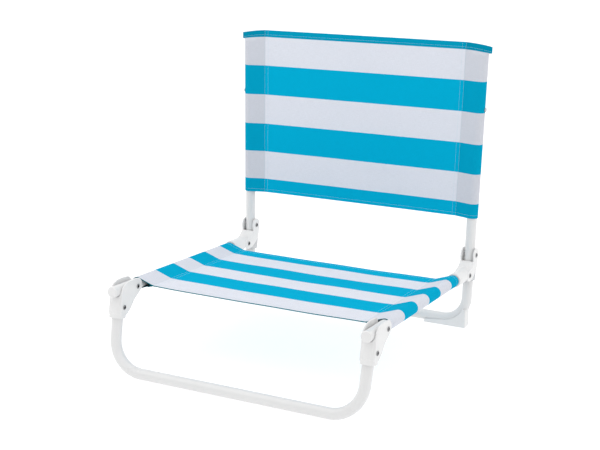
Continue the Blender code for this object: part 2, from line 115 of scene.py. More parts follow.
def makeObject(name, points, faces, material, smoothAngle=50, uv=None, merge=None, masks=None):
    # vertices and polygons as arrays; doubles merged and normals turned outwards on closed shells
    mesh = bpy.data.meshes.new(name)
    mesh.from_pydata(points.reshape(-1, 3).tolist(), [], faces if isinstance(faces, list) else faces.tolist())
    for label, values in (masks or {}).items():
        mask = mesh.attributes.new(label, "FLOAT", "POINT")
        mask.data.foreach_set("value", values.astype(np.float32).ravel())
    if uv is not None:
        layer = mesh.uv_layers.new(name="cloth")
        order = np.empty(len(mesh.loops), np.int32)
        mesh.loops.foreach_get("vertex_index", order)
        layer.data.foreach_set("uv", uv.reshape(-1, 2)[order].astype(np.float32).ravel())
    shape = bmesh.new()
    shape.from_mesh(mesh)
    if merge:
        bmesh.ops.remove_doubles(shape, verts=shape.verts, dist=merge)
        bmesh.ops.dissolve_degenerate(shape, edges=shape.edges, dist=merge / 4)
    bmesh.ops.recalc_face_normals(shape, faces=shape.faces)
    shape.to_mesh(mesh)
    shape.free()
    mesh.shade_smooth()
    mesh.set_sharp_from_angle(angle=math.radians(smoothAngle))
    mesh.materials.append(material)
    obj = bpy.data.objects.new(name, mesh)
    bpy.context.scene.collection.objects.link(obj)
    return obj


def gridFaces(rows, columns, wrapRows=False, wrapColumns=False):
    # quads over a grid of rows x columns numbered row by row, joined round where it wraps
    i = np.arange(rows if wrapRows else rows - 1)
    j = np.arange(columns if wrapColumns else columns - 1)
    i, j = (k.ravel() for k in np.meshgrid(i, j, indexing="ij"))
    down, right = (i + 1) % rows, (j + 1) % columns
    return np.stack([i * columns + j, down * columns + j, down * columns + right, i * columns + right], 1)


def roundedLine(corners, radii, steps=10):
    # straight runs with each inner corner replaced by an arc of its radius, as points in order
    corners = [np.array(c, float) for c in corners]
    radii = [radii] * len(corners) if np.isscalar(radii) else radii
    line = [corners[0][None]]
    for k in range(1, len(corners) - 1):
        back, ahead = unit(corners[k - 1] - corners[k]), unit(corners[k + 1] - corners[k])
        half = math.acos(np.clip(back @ ahead, -1, 1)) / 2
        if half > math.radians(89.5) or radii[k] == 0:
            line.append(corners[k][None])
            continue
        center = corners[k] + unit(back + ahead) * radii[k] / math.sin(half)
        start, end = (corners[k] + side * radii[k] / math.tan(half) - center for side in (back, ahead))
        turn = math.pi - 2 * half
        t = np.linspace(0, 1, steps + 1)[:, None]
        line.append(center + (start * np.sin((1 - t) * turn) + end * np.sin(t * turn)) / math.sin(turn))
    line.append(corners[-1][None])
    return np.concatenate(line)


def resampled(line, spacing):
    # the same line with points about one spacing apart along its length
    reach = np.concatenate([[0], np.cumsum(np.linalg.norm(np.diff(line, axis=0), axis=1))])
    at = np.linspace(0, reach[-1], max(2, int(reach[-1] / spacing) + 1))
    return np.stack([np.interp(at, reach, line[:, k]) for k in range(line.shape[1])], 1)


def tubePiece(name, line, planeNormal, material, radius, wall, around=40):
    # hollow bar: circle of the radius carried along a flat path, outer wall out and inner wall back,
    # circle point = line + normal * cos t + binormal * sin t, with the two walls joined at both ends
    tangent = np.gradient(line, axis=0)
    tangent /= np.linalg.norm(tangent, axis=1)[:, None]
    binormal = np.broadcast_to(unit(planeNormal), line.shape)
    normal = np.cross(binormal, tangent)
    t = np.linspace(0, 2 * math.pi, around, endpoint=False)
    ring = np.cos(t)[None, :, None] * normal[:, None] + np.sin(t)[None, :, None] * binormal[:, None]
    rimEase = 0.3 * mm
    outerRadius = np.full(len(line), radius)
    outerRadius[[0, -1]] -= rimEase
    outer = line[:, None] + ring * outerRadius[:, None, None]
    bore = line[:, None] + ring * (radius - wall)
    loop = np.concatenate([outer, bore[::-1]])
    return makeObject(name, loop, gridFaces(len(loop), around, True, True), material)


def turnedPiece(name, profile, center, direction, material, steps=40, dent=None, hollow=0.0):
    # a profile of (radius, height) turned about a direction, with a mask inside the hollow's radius for
    # painted shade:
    # point = center + radius * spoke + (height - dent) * direction
    direction = unit(np.array(direction, float))
    first = unit(np.cross(direction, [0.13, 0.37, 0.92]))
    second = np.cross(direction, first)
    t = np.linspace(0, 2 * math.pi, steps, endpoint=False)
    r, h = profile[:, 0][:, None], profile[:, 1][:, None]
    x, y = r * np.cos(t), r * np.sin(t)
    height = h + 0 * t if dent is None else h - dent(x, y, h)
    points = np.array(center) + x[..., None] * first + y[..., None] * second + height[..., None] * direction
    closedProfile = bool(profile[0, 0] > 1e-6)
    faces = gridFaces(len(profile), steps, closedProfile, True)
    masks = {"hollow": (r < hollow) + 0 * t} if hollow else None
    return makeObject(name, points, faces, material, smoothAngle=40, merge=0.01 * mm, masks=masks)


def mouldedCopy(name, node, material, passes, voxel=0.6 * mm, smoothAngle=60):
    # the CAD shape as one skin of small even faces, relaxed so that its edges are rounded like a moulding
    shape = bmesh.new()
    shape.from_mesh(frame["nodes"][node].data)
    bmesh.ops.remove_doubles(shape, verts=shape.verts, dist=0.02 * mm)
    mesh = bpy.data.meshes.new(name)
    shape.to_mesh(mesh)
    shape.free()
    obj = bpy.data.objects.new(name, mesh)
    bpy.context.scene.collection.objects.link(obj)
    remesh = obj.modifiers.new("skin", "REMESH")
    remesh.mode = "VOXEL"
    remesh.voxel_size = voxel
    relax = obj.modifiers.new("relax", "SMOOTH")
    relax.factor = 0.5
    relax.iterations = passes
    bpy.context.view_layer.update()
    done = bpy.data.meshes.new_from_object(obj.evaluated_get(bpy.context.evaluated_depsgraph_get()))
    obj.modifiers.clear()
    obj.data = done
    done.name = name
    done.materials.clear()
    done.materials.append(material)
    done.shade_smooth()
    done.set_sharp_from_angle(angle=math.radians(smoothAngle))
    return obj


def smoothStep(t):
    t = np.clip(t, 0, 1)
    return t * t * (3 - 2 * t)


# materials


def addNode(tree, kind, values=None, **settings):
    node = tree.nodes.new(kind)
    for key, value in settings.items():
        setattr(node, key, value)
    for key, value in (values or {}).items():
        if isinstance(value, bpy.types.NodeSocket):
            tree.links.new(value, node.inputs[key])
        else:
            node.inputs[key].default_value = value
    return node


def math2(tree, operation, a, b=0.0):
    return addNode(tree, "ShaderNodeMath", {0: a, 1: b}, operation=operation).outputs[0]


def mixColors(tree, share, first, second):
    return addNode(tree, "ShaderNodeMix", {0: share, 6: first, 7: second}, data_type="RGBA").outputs[2]


def newGroup(name, inputs, outputs):
    group = bpy.data.node_groups.new(name, "ShaderNodeTree")
    for label, kind, default in inputs:
        socket = group.interface.new_socket(label, in_out="INPUT", socket_type=kind)
        if default is not None:
            socket.default_value = default
    for label, kind in outputs:
        group.interface.new_socket(label, in_out="OUTPUT", socket_type=kind)
    return group, group.nodes.new("NodeGroupInput").outputs, group.nodes.new("NodeGroupOutput").inputs


def newMaterial(name, **values):
    material = bpy.data.materials.new(name)
    material.use_nodes = True
    shader = material.node_tree.nodes["Principled BSDF"]
    for key, value in values.items():
        shader.inputs[key].default_value = value
    return material, material.node_tree, shader


def useGroup(tree, group, values):
    return addNode(tree, "ShaderNodeGroup", values, node_tree=group).outputs


def makeGrainGroup():
    # fine surface grain, slow changes of tone, and a mask on worn edges
    inputs = [("Place", "NodeSocketVector", None), ("Grain Scale", "NodeSocketFloat", 900.0),
              ("Tone Scale", "NodeSocketFloat", 12.0), ("Wear", "NodeSocketFloat", 0.5)]
    outputs = [("Grain", "NodeSocketFloat"), ("Tone", "NodeSocketFloat"), ("Worn", "NodeSocketFloat")]
    group, given, out = newGroup("surfaceGrain", inputs, outputs)
    grain = addNode(group, "ShaderNodeTexNoise", {"Vector": given["Place"], "Scale": given["Grain Scale"],
                                                  "Detail": 2.0})
    tone = addNode(group, "ShaderNodeTexNoise", {"Vector": given["Place"], "Scale": given["Tone Scale"],
                                                 "Detail": 4.0, "Roughness": 0.6})
    geometry = addNode(group, "ShaderNodeNewGeometry")
    edge = addNode(group, "ShaderNodeMapRange", {"Value": geometry.outputs["Pointiness"], "From Min": 0.53,
                                                 "From Max": 0.62})
    patchy = addNode(group, "ShaderNodeTexNoise", {"Vector": given["Place"], "Scale": 160.0, "Detail": 5.0})
    chosen = addNode(group, "ShaderNodeMapRange", {"Value": patchy.outputs["Fac"], "From Min": 0.52,
                                                   "From Max": 0.68})
    worn = math2(group, "MULTIPLY", edge.outputs["Result"], chosen.outputs["Result"])
    group.links.new(grain.outputs["Fac"], out["Grain"])
    group.links.new(tone.outputs["Fac"], out["Tone"])
    group.links.new(math2(group, "MULTIPLY", worn, given["Wear"]), out["Worn"])
    return group


def makeWeaveGroup():
    # plain weave from two sine waves a thread apart, with slubs as noise drawn out along each thread
    inputs = [("Cloth", "NodeSocketVector", None), ("Pitch", "NodeSocketFloat", 0.0008)]
    outputs = [("Height", "NodeSocketFloat"), ("Slub", "NodeSocketFloat"), ("Jitter", "NodeSocketFloat")]
    group, given, out = newGroup("plainWeave", inputs, outputs)
    parts = addNode(group, "ShaderNodeSeparateXYZ", {0: given["Cloth"]})
    waves = []
    for axis in (0, 1):
        turns = math2(group, "DIVIDE", parts.outputs[axis], given["Pitch"])
        waves.append(math2(group, "SINE", math2(group, "MULTIPLY", turns, math.pi)))
    checks = math2(group, "MULTIPLY", waves[0], waves[1])
    over = addNode(group, "ShaderNodeMapRange", {"Value": checks, "From Min": -0.2, "From Max": 0.2})
    warp = math2(group, "ABSOLUTE", waves[0])
    weft = math2(group, "ABSOLUTE", waves[1])
    height = addNode(group, "ShaderNodeMix", {0: over.outputs["Result"], 2: weft, 3: warp}).outputs[0]
    slubs = []
    for stretch in ((90.0, 1500.0, 1.0), (1500.0, 90.0, 1.0)):
        place = addNode(group, "ShaderNodeVectorMath", {0: given["Cloth"], 1: stretch}, operation="MULTIPLY")
        noise = addNode(group, "ShaderNodeTexNoise", {"Vector": place.outputs[0], "Scale": 1.0,
                                                      "Detail": 2.0})
        slubs.append(noise.outputs["Fac"])
    shares = [math2(group, "MULTIPLY", noise, share) for noise, share in zip(slubs, (0.6, 0.4))]
    slub = math2(group, "ADD", *shares)
    group.links.new(height, out["Height"])
    group.links.new(slub, out["Slub"])
    group.links.new(slubs[1], out["Jitter"])
    return group


surfaceGrain = makeGrainGroup()
plainWeave = makeWeaveGroup()


def grainedMaterial(name, look):
    # one colour with slow tone changes, rubbed edges, painted shade in hollows, uneven gloss and a fine
    # raised grain
    material, tree, shader = newMaterial(name, **look["shader"])
    place = addNode(tree, "ShaderNodeTexCoord").outputs["Object"]
    grain = useGroup(tree, surfaceGrain, {"Place": place, "Grain Scale": look["grainScale"],
                                          "Tone Scale": look["toneScale"], "Wear": look["wear"]})
    color = mixColors(tree, grain["Tone"], *look["colors"])
    color = mixColors(tree, grain["Worn"], color, look["wornColor"])
    # painted shade: inside the hollow the colour goes near black to stand in for the shade there
    if "hollowShadeColor" in look:
        paintedShadeMask = addNode(tree, "ShaderNodeAttribute", attribute_name="hollow").outputs["Fac"]
        color = mixColors(tree, paintedShadeMask, color, look["hollowShadeColor"])
    glossy, dull = look["roughness"]
    rough = addNode(tree, "ShaderNodeMapRange", {"Value": grain["Tone"], "From Min": 0.3, "From Max": 0.7,
                                                 "To Min": glossy, "To Max": dull})
    bump = addNode(tree, "ShaderNodeBump", {"Height": grain["Grain"], "Strength": look["bump"],
                                            "Distance": look["bumpDepth"]})
    tree.links.new(color, shader.inputs["Base Color"])
    tree.links.new(rough.outputs["Result"], shader.inputs["Roughness"])
    tree.links.new(bump.outputs["Normal"], shader.inputs["Normal"])
    return material


powderCoat = grainedMaterial("powderCoatWhite", {
    "shader": {"Specular IOR Level": 0.5, "Coat Weight": 0.15, "Coat Roughness": 0.2},
    "colors": ((0.66, 0.66, 0.662, 1), (0.71, 0.71, 0.71, 1)), "wornColor": (0.56, 0.56, 0.57, 1),
    "grainScale": 1100.0, "toneScale": 14.0, "wear": 0.0, "roughness": (0.26, 0.36), "bump": 0.12,
    "bumpDepth": 0.00012})
mouldedWhite = grainedMaterial("mouldedPlasticWhite", {
    "shader": {"Specular IOR Level": 0.45},
    "colors": ((0.70, 0.70, 0.702, 1), (0.75, 0.75, 0.75, 1)), "wornColor": (0.64, 0.64, 0.64, 1),
    "grainScale": 1500.0, "toneScale": 22.0, "wear": 0.6, "roughness": (0.36, 0.48), "bump": 0.15,
    "bumpDepth": 0.0001})
zincSteel = grainedMaterial("zincSteel", {
    "shader": {"Metallic": 1.0},
    "colors": ((0.42, 0.43, 0.45, 1), (0.58, 0.59, 0.60, 1)), "wornColor": (0.70, 0.70, 0.70, 1),
    "grainScale": 2200.0, "toneScale": 260.0, "wear": 0.4, "roughness": (0.24, 0.42), "bump": 0.2,
    "bumpDepth": 0.00008})
# rivets: the hollow in each head is painted near black as shade
rivetSteel = grainedMaterial("rivetSteel", {
    "shader": {"Metallic": 1.0},
    "colors": ((0.25, 0.255, 0.26, 1), (0.34, 0.34, 0.35, 1)), "wornColor": (0.45, 0.45, 0.45, 1),
    "hollowShadeColor": (0.008, 0.008, 0.009, 1),
    "grainScale": 2200.0, "toneScale": 260.0, "wear": 0.4, "roughness": (0.26, 0.40), "bump": 0.2,
    "bumpDepth": 0.00008})
sewingThread = grainedMaterial("sewingThreadWhite", {
    "shader": {"Sheen Weight": 0.2, "Sheen Roughness": 0.4},
    "colors": ((0.38, 0.58, 0.68, 1), (0.50, 0.68, 0.77, 1)), "wornColor": (0.5, 0.6, 0.7, 1),
    "grainScale": 4000.0, "toneScale": 300.0, "wear": 0.0, "roughness": (0.6, 0.75), "bump": 0.3,
    "bumpDepth": 0.0001})


def stripedCanvas(name, look):
    # woven stripes by the length along the cloth, with painted shade: darker where two layers lie on each
    # other and in the low places of the weave
    material, tree, shader = newMaterial(name, **look["shader"])
    cloth = addNode(tree, "ShaderNodeUVMap", uv_map="cloth").outputs["UV"]
    weave = useGroup(tree, plainWeave, {"Cloth": cloth, "Pitch": look["pitch"]})
    parts = addNode(tree, "ShaderNodeSeparateXYZ", {0: cloth})
    shift = math2(tree, "MULTIPLY", math2(tree, "SUBTRACT", weave["Jitter"], 0.5), look["edgeJitter"])
    along = math2(tree, "ADD", parts.outputs[1], shift)
    edges = look["stripes"]
    low, high = edges[0][0], edges[-1][0] + 0.05
    share = addNode(tree, "ShaderNodeMapRange", {"Value": along, "From Min": low, "From Max": high})
    bands = addNode(tree, "ShaderNodeValToRGB", {0: share.outputs["Result"]})
    bands.color_ramp.interpolation = "CONSTANT"
    stops = bands.color_ramp.elements
    while len(stops) < len(edges):
        stops.new(0.5)
    for stop, (at, dye) in zip(stops, edges):
        stop.position = (at - low) / (high - low)
        stop.color = look[dye]
    dyed = bands.outputs["Color"]
    streak = addNode(tree, "ShaderNodeMapRange", {"Value": weave["Slub"], "From Min": 0.3, "From Max": 0.7,
                                                  "To Min": look["slub"][0], "To Max": look["slub"][1]})
    sideways = math2(tree, "ABSOLUTE", parts.outputs[0])
    # painted shade: the cloth is darker where two layers lie on each other, standing in for the light that
    # passes through a single layer
    doubledLayerShade = addNode(tree, "ShaderNodeMapRange", {"Value": sideways, "From Min": look["seam"] - 0.0006,
                                                   "From Max": look["seam"] + 0.0006, "To Min": 1.0,
                                                   "To Max": look["doubledLayerShade"]})
    # painted shade: the low places of the weave are darkened
    weaveFurrowShade = addNode(tree, "ShaderNodeMix", {0: weave["Height"], 2: look["weaveFurrowShade"], 3: 1.0}).outputs[0]
    tone = math2(tree, "MULTIPLY", streak.outputs["Result"], doubledLayerShade.outputs["Result"])
    tone = math2(tree, "MULTIPLY", tone, weaveFurrowShade)
    shaded = addNode(tree, "ShaderNodeVectorMath", {0: dyed, 3: tone}, operation="SCALE").outputs[0]
    rough = addNode(tree, "ShaderNodeMapRange", {"Value": weave["Height"], "To Min": 0.95, "To Max": 0.78})
    bump = addNode(tree, "ShaderNodeBump", {"Height": weave["Height"], "Strength": look["bump"],
                                            "Distance": 0.0003})
    tree.links.new(shaded, shader.inputs["Base Color"])
    tree.links.new(rough.outputs["Result"], shader.inputs["Roughness"])
    tree.links.new(bump.outputs["Normal"], shader.inputs["Normal"])
    return material


print("materials made")

# frames

tubes = {"wall": 1.2 * mm, "spacing": 4 * mm}
spreader = {"radius": 6 * mm, "wall": 1 * mm, "points": 90, "around": 28}
legFrames = {
    "front_leg_frame": {"name": "frontLegTube", "body": "front_legs", "bend": 64 * mm, "closing": 3.5 * mm},
    "rear_leg_frame": {"name": "rearLegTube", "body": "rear_legs", "bend": 50 * mm, "closing": 0.0},
}


def straightEnds(node):
    # the axis of a straight round bar, from half its box = half length * direction + radius across it,
    # which settles in a few rounds
    center, half = middleOf(node), halfSizeOf(node)
    direction = np.zeros(3)
    for _ in range(4):
        run = np.clip(half - tubeRadius * np.sqrt(np.clip(1 - direction ** 2, 0, 1)), 0, None)
        length = np.linalg.norm(run)
        direction = run / length
    return center, direction, length


def finish(obj, body, slotName, *replaced):
    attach(obj, body)
    if replaced:
        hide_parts(*replaced)


def makeRail(label):
    node = "seat_rail_" + label
    center, _, length = straightEnds(node)
    run = railDir * length
    line = resampled(np.stack([center - run, center + run]), tubes["spacing"] * 2)
    piece = tubePiece("seatRailTube_" + label, line, across, powderCoat, tubeRadius, tubes["wall"])
    finish(piece, "seat", "white_paint", node)


def makeUpright(side, label):
    node = "back_upright_" + label
    center, direction, length = straightEnds(node)
    direction = direction * [side, 1, 1]
    run = direction * length
    line = resampled(np.stack([center - run, center + run]), tubes["spacing"] * 2)
    planeNormal = np.cross(direction, [0, 1, 0])
    piece = tubePiece("backUprightTube_" + label, line, planeNormal, powderCoat, tubeRadius, tubes["wall"])
    finish(piece, "back", "white_paint", node)


def makeLegFrame(node, knee, barAt):
    # a bar along the floor with two round bends and two legs, through a known point on the leg axis
    spec = legFrames[node]
    low, high = (np.array(v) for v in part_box(node))
    bar = np.array([0.0, barAt, low[2] + tubeRadius])
    rise = unit((knee - bar) * [0, 1, 1])
    topZ = high[2] - tubeRadius * abs(rise[1])
    top = bar + rise * (topZ - bar[2]) / rise[2]
    topX = high[0] - tubeRadius
    barX = topX - spec["closing"]
    right = [bar, bar + across * barX, top + across * topX]
    line = roundedLine([right[2] * [-1, 1, 1], right[1] * [-1, 1, 1], right[1], right[2]], spec["bend"], 24)
    line = resampled(line, tubes["spacing"])
    planeNormal = np.cross(across, rise)
    piece = tubePiece(spec["name"], line, planeNormal, powderCoat, tubeRadius, tubes["wall"])
    finish(piece, spec["body"], "white_paint", node)


def makeSpreader():
    # parabola between the uprights: back = bow * (1 - (x / reach) squared)
    high = np.array(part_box("back_spreader")[1])
    screw = middleOf("spreader_screw_right")
    reach = high[0]
    bow = high[1] - spreader["radius"] - screw[1]
    x = np.linspace(-reach, reach, spreader["points"])
    line = across * x[:, None] + screw * [0, 1, 1] - backFront * (bow * (1 - (x / reach) ** 2))[:, None]
    piece = tubePiece("backSpreaderBar", line, backDir, powderCoat, spreader["radius"], spreader["wall"],
                      spreader["around"])
    finish(piece, "back", "white_paint", "back_spreader")


for label, side in sides.items():
    makeRail(label)
    makeUpright(side, label)
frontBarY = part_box("front_leg_frame")[0][1] + tubeRadius
makeLegFrame("front_leg_frame", middleOf("front_fixing_rivet_right"), frontBarY)
makeLegFrame("rear_leg_frame", middleOf("knuckle_pin_right"), middleOf("corner_foot_right")[1])
makeSpreader()
print("tubes swept")

# moulded pieces

mouldings = {
    "front_bracket": {"name": "frontFork", "body": "front_legs", "passes": 6},
    "rear_bracket": {"name": "rearFork", "body": "seat", "passes": 2},
    "corner_foot": {"name": "cornerFoot", "body": "rear_legs", "passes": 6},
}
for node, spec in mouldings.items():
    for label in sides:
        piece = mouldedCopy(f"{spec['name']}_{label}", f"{node}_{label}", mouldedWhite, spec["passes"])
        finish(piece, spec["body"], "white_plastic", f"{node}_{label}")


def domedPlug(name, node, direction, dome, body):
    # a plug whose cap is as wide as the tube, with a rounded rim and a shallow crown
    direction = unit(np.array(direction, float))
    center, half = middleOf(node), halfSizeOf(node)
    reach = (half - tubeRadius * np.sqrt(1 - direction ** 2)) @ np.abs(direction)
    tip = center + direction * reach
    rim, neck = tubeRadius, tubeRadius - tubes["wall"] - 0.3 * mm
    corners = [(0, 0), (rim - 1.0 * mm, -0.35 * mm), (rim, -dome), (rim, -dome - 0.2 * mm),
               (neck, -dome - 0.2 * mm), (neck, -2 * reach), (0, -2 * reach)]
    profile = roundedLine(corners, [0, dome * 0.6, 0, 0, 0, 0.5 * mm, 0], 8)
    finish(turnedPiece(name, profile, tip, direction, mouldedWhite), body, "white_plastic", node)


def spacerWasher(name, node):
    # a flat ring with eased edges
    thick, rim, hole = halfSizeOf(node)[0], 7.5 * mm, 3.3 * mm
    corners = [(hole, 0), (hole, thick), (rim, thick), (rim, -thick), (hole, -thick), (hole, 0)]
    profile = roundedLine(corners, 0.3 * mm, 4)[:-1]
    finish(turnedPiece(name, profile, middleOf(node), across, mouldedWhite), "back", "white_plastic", node)


plugs = {"nose": 3.5 * mm, "tail": 1.5 * mm, "foot": 1.5 * mm, "top": 3.0 * mm}
for label, side in sides.items():
    _, lean, _ = straightEnds("back_upright_" + label)
    lean = lean * [side, 1, 1]
    domedPlug("railNosePlug_" + label, "rail_nose_plug_" + label, -railDir, plugs["nose"], "seat")
    domedPlug("railTailPlug_" + label, "rail_tail_plug_" + label, railDir, plugs["tail"], "seat")
    domedPlug("uprightFootPlug_" + label, "upright_foot_plug_" + label, -lean, plugs["foot"], "back")
    domedPlug("uprightTopPlug_" + label, "upright_top_plug_" + label, lean, plugs["top"], "back")
    for place in ("inner", "outer"):
        spacerWasher(f"pivotWasher_{place}_{label}", f"pivot_washer_{place}_{label}")
print("mouldings made")

# hardware


def tubularRivet(name, node, body):
    # shank between two rolled heads, hollow in the middle; profile runs from one end to the other
    half = halfSizeOf(node)[0]
    head, shank, bore, thick, depth = 4.9 * mm, 3.0 * mm, 2.8 * mm, 1.6 * mm, 3.4 * mm
    top = [(0, half - depth), (bore, half - depth), (bore, half - 0.9 * mm), (bore + 0.7 * mm, half),
           (head - 1.0 * mm, half - 0.15 * mm), (head, half - 1.0 * mm), (head, half - thick),
           (shank, half - thick)]
    radii = [0, 0.4 * mm, 0.5 * mm, 0.3 * mm, 0.6 * mm, 0.4 * mm, 0.2 * mm, 0]
    upper = roundedLine(top, radii, 5)
    profile = np.concatenate([upper, upper[::-1] * [1, -1]])
    # the mask inside the bore marks where shade is painted near black
    finish(turnedPiece(name, profile, middleOf(node), across, rivetSteel, 36, hollow=bore + 0.05 * mm), body,
           "steel", node)


def panScrew(name, node, side, body):
    # rounded head with a cross recess: depth where the place is inside either of two crossed slots
    low, high = (np.array(v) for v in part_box(node))
    headAt = (low if side < 0 else high) * [1, 0, 0] + middleOf(node) * [0, 1, 1]
    length = (high - low)[0]
    crownRadius, drop, rim, depth, shank = 3.4 * mm, 0.25 * mm, 4.6 * mm, 2.2 * mm, 2.5 * mm
    r = np.linspace(0, crownRadius, 18)[:, None]
    crown = np.concatenate([r, -drop * (r / crownRadius) ** 2], 1)
    corners = [(crownRadius, -drop), (rim - 0.2 * mm, -2 * drop), (rim, -depth), (shank, -depth),
               (shank, -length), (0, -length)]
    rest = roundedLine(corners, [0, 0.8 * mm, 0.3 * mm, 0, 0, 0], 6)
    profile = np.concatenate([crown, rest[1:]])

    def recess(x, y, h):
        slots = [smoothStep((0.55 * mm - abs(a)) / (0.25 * mm)) * smoothStep((2.4 * mm - abs(b)) / (0.4 * mm))
                 for a, b in ((x, y), (y, x))]
        return 1.1 * mm * np.maximum(*slots) * (h > -0.3 * mm)

    finish(turnedPiece(name, profile, headAt, across * side, zincSteel, 96, recess), body, "steel", node)


def roundPin(name, node, body):
    half, radius = halfSizeOf(node)[0], 2.5 * mm
    profile = roundedLine([(0, half), (radius, half), (radius, -half), (0, -half)], 0.4 * mm, 4)
    finish(turnedPiece(name, profile, middleOf(node), across, zincSteel, 28), body, "steel", node)


for label, side in sides.items():
    tubularRivet("legPivotRivet_" + label, "leg_pivot_rivet_" + label, "seat")
    tubularRivet("backPivotRivet_" + label, "back_pivot_rivet_" + label, "back")
    tubularRivet("frontPivotRivet_" + label, "front_pivot_rivet_" + label, "front_legs")
    tubularRivet("frontFixingRivet_" + label, "front_fixing_rivet_" + label, "front_legs")
    panScrew("spreaderScrewHead_" + label, "spreader_screw_" + label, side, "back")
    roundPin("knucklePin_" + label, "knuckle_pin_" + label, "rear_legs")
    for slot in frame["nodes"]["leg_knuckle_" + label].material_slots:
        slot.material = zincSteel
print("hardware made")

# slings

pocketRadius = 12.5 * mm


def spanAlong(node, pivot, direction, half):
    # where a sling starts and ends along its rails: half its box, less the pocket's radius across them
    k = int(np.argmax(np.abs(direction)))
    other = 3 - k
    length = (halfSizeOf(node)[k] - half * abs(direction[other])) / abs(direction[k])
    center = (middleOf(node) - pivot) @ direction
    return center - length, center + length


def buildSection(spec):
    # half outline of the cloth from the middle outwards: flat panel, straight run to the tube, round it,
    # straight back under itself, then a flap under the panel; corners eased by averaging over a short length
    apex, center, r, gap = spec["apex"], spec["railX"], spec["wrapRadius"], spec["layerGap"]
    step = 0.25 * mm
    lean = math.acos(r / (center - apex))
    turn = np.linspace(math.pi - lean, lean - math.pi, 200)
    loop = np.stack([center + r * np.cos(turn), r * np.sin(turn)], 1)
    corners = np.concatenate([[(0, 0), (apex, 0)], loop, [(apex, -gap), (spec["flap"], -gap)]])
    line = resampled(corners, step)
    reach = int(spec["ease"] / step)
    window = np.hanning(2 * reach + 1)
    window /= window.sum()
    padded = np.pad(line, ((reach, reach), (0, 0)), mode="reflect", reflect_type="odd")
    eased = np.stack([np.convolve(padded[:, k], window, "valid") for k in (0, 1)], 1)
    near = smoothStep((apex + 16 * mm - line[:, 0]) / (8 * mm))[:, None]
    line = line * (1 - near) + eased * near
    s = np.concatenate([[0], np.cumsum(np.linalg.norm(np.diff(line, axis=0), axis=1))])
    spec["section"] = (s, line[:, 0], line[:, 1])
    spec["halfWidth"] = s[-1]
    spec["pocketHalf"] = (s[-1] - apex - (apex - spec["flap"])) / 2
    spec["tubeFrom"] = apex + r * math.tan(lean)
    spec["tubeTo"] = spec["tubeFrom"] + r * 2 * (math.pi - lean)


def inSection(spec, q, z):
    # place across the cloth: round pocket below, pressed flat towards a closed top edge
    s, a, b = spec["section"]
    side, d = np.sign(q), np.abs(q)
    x, y = np.interp(d, s, a), np.interp(d, s, b)
    if spec["closing"]:
        w = spec["closing"](z)
        out = np.clip(d - spec["apex"], 0, None)
        width = spec["pocketHalf"]
        flatX = np.where(d < spec["apex"], d, spec["apex"] + width - np.abs(width - out))
        flatY = spec["closedGap"] * np.clip((width - out) / (2 * mm), -1, 1) * (out > 0)
        flatY = flatY * smoothStep(out / (4 * mm)) - spec["layerGap"] * (out > width) * smoothStep(
            (out - 2 * width + 4 * mm) / (4 * mm))
        x, y = x + (flatX - x) * w, y + (flatY - y) * w
    x = x + spec["widening"](z) * np.clip(d / spec["apex"], 0, 1)
    return side * x, y


def hemPath(spec, p):
    # length along the cut cloth to (place along the rails, depth below the face): flat, then a half circle
    # round each end, then flat again underneath
    f, length = spec["foldRadius"], spec["length"]
    end = np.where(p < length / 2, p, length - p)
    quarter = math.pi * f / 2
    phi = np.clip(end / f, -math.pi / 2, math.pi / 2)
    z = np.where(np.abs(end) < quarter, f - f * np.cos(phi), f + np.abs(end) - quarter)
    depth = np.where(end < -quarter, -2 * f, np.where(end > quarter, 0.0, -f + f * np.sin(phi)))
    return np.where(p < length / 2, z, length - z), depth


def clothMiddle(spec, q, p):
    # middle of the cloth at width q and length p: section place, moved off the face by the hem's depth
    z, depth = hemPath(spec, p)
    e = 0.15 * mm
    x0, y0 = inSection(spec, q - e, z)
    x1, y1 = inSection(spec, q + e, z)
    x, y = inSection(spec, q, z)
    tx, ty = x1 - x0, y1 - y0
    size = np.hypot(tx, ty) + 1e-12
    inPocket = smoothStep((np.abs(q) - spec["apex"] - 4 * mm) / (14 * mm))
    off = depth * (1 - inPocket * (1 - spec["pocketHem"]))
    x, y = x - ty / size * off, y + tx / size * off
    y = y + clothRelief(spec, x, z)
    z = z - spec["dip"](spec, x, z, q)
    return (spec["origin"] + across * x[..., None] + spec["along"] * (z + spec["start"])[..., None]
            + spec["face"] * y[..., None])


def clothNormal(spec, q, p):
    e = 0.12 * mm
    over = clothMiddle(spec, q + e, p) - clothMiddle(spec, q - e, p)
    along = clothMiddle(spec, q, p + e) - clothMiddle(spec, q, p - e)
    n = np.cross(over, along)
    return n / (np.linalg.norm(n, axis=-1)[..., None] + 1e-15)


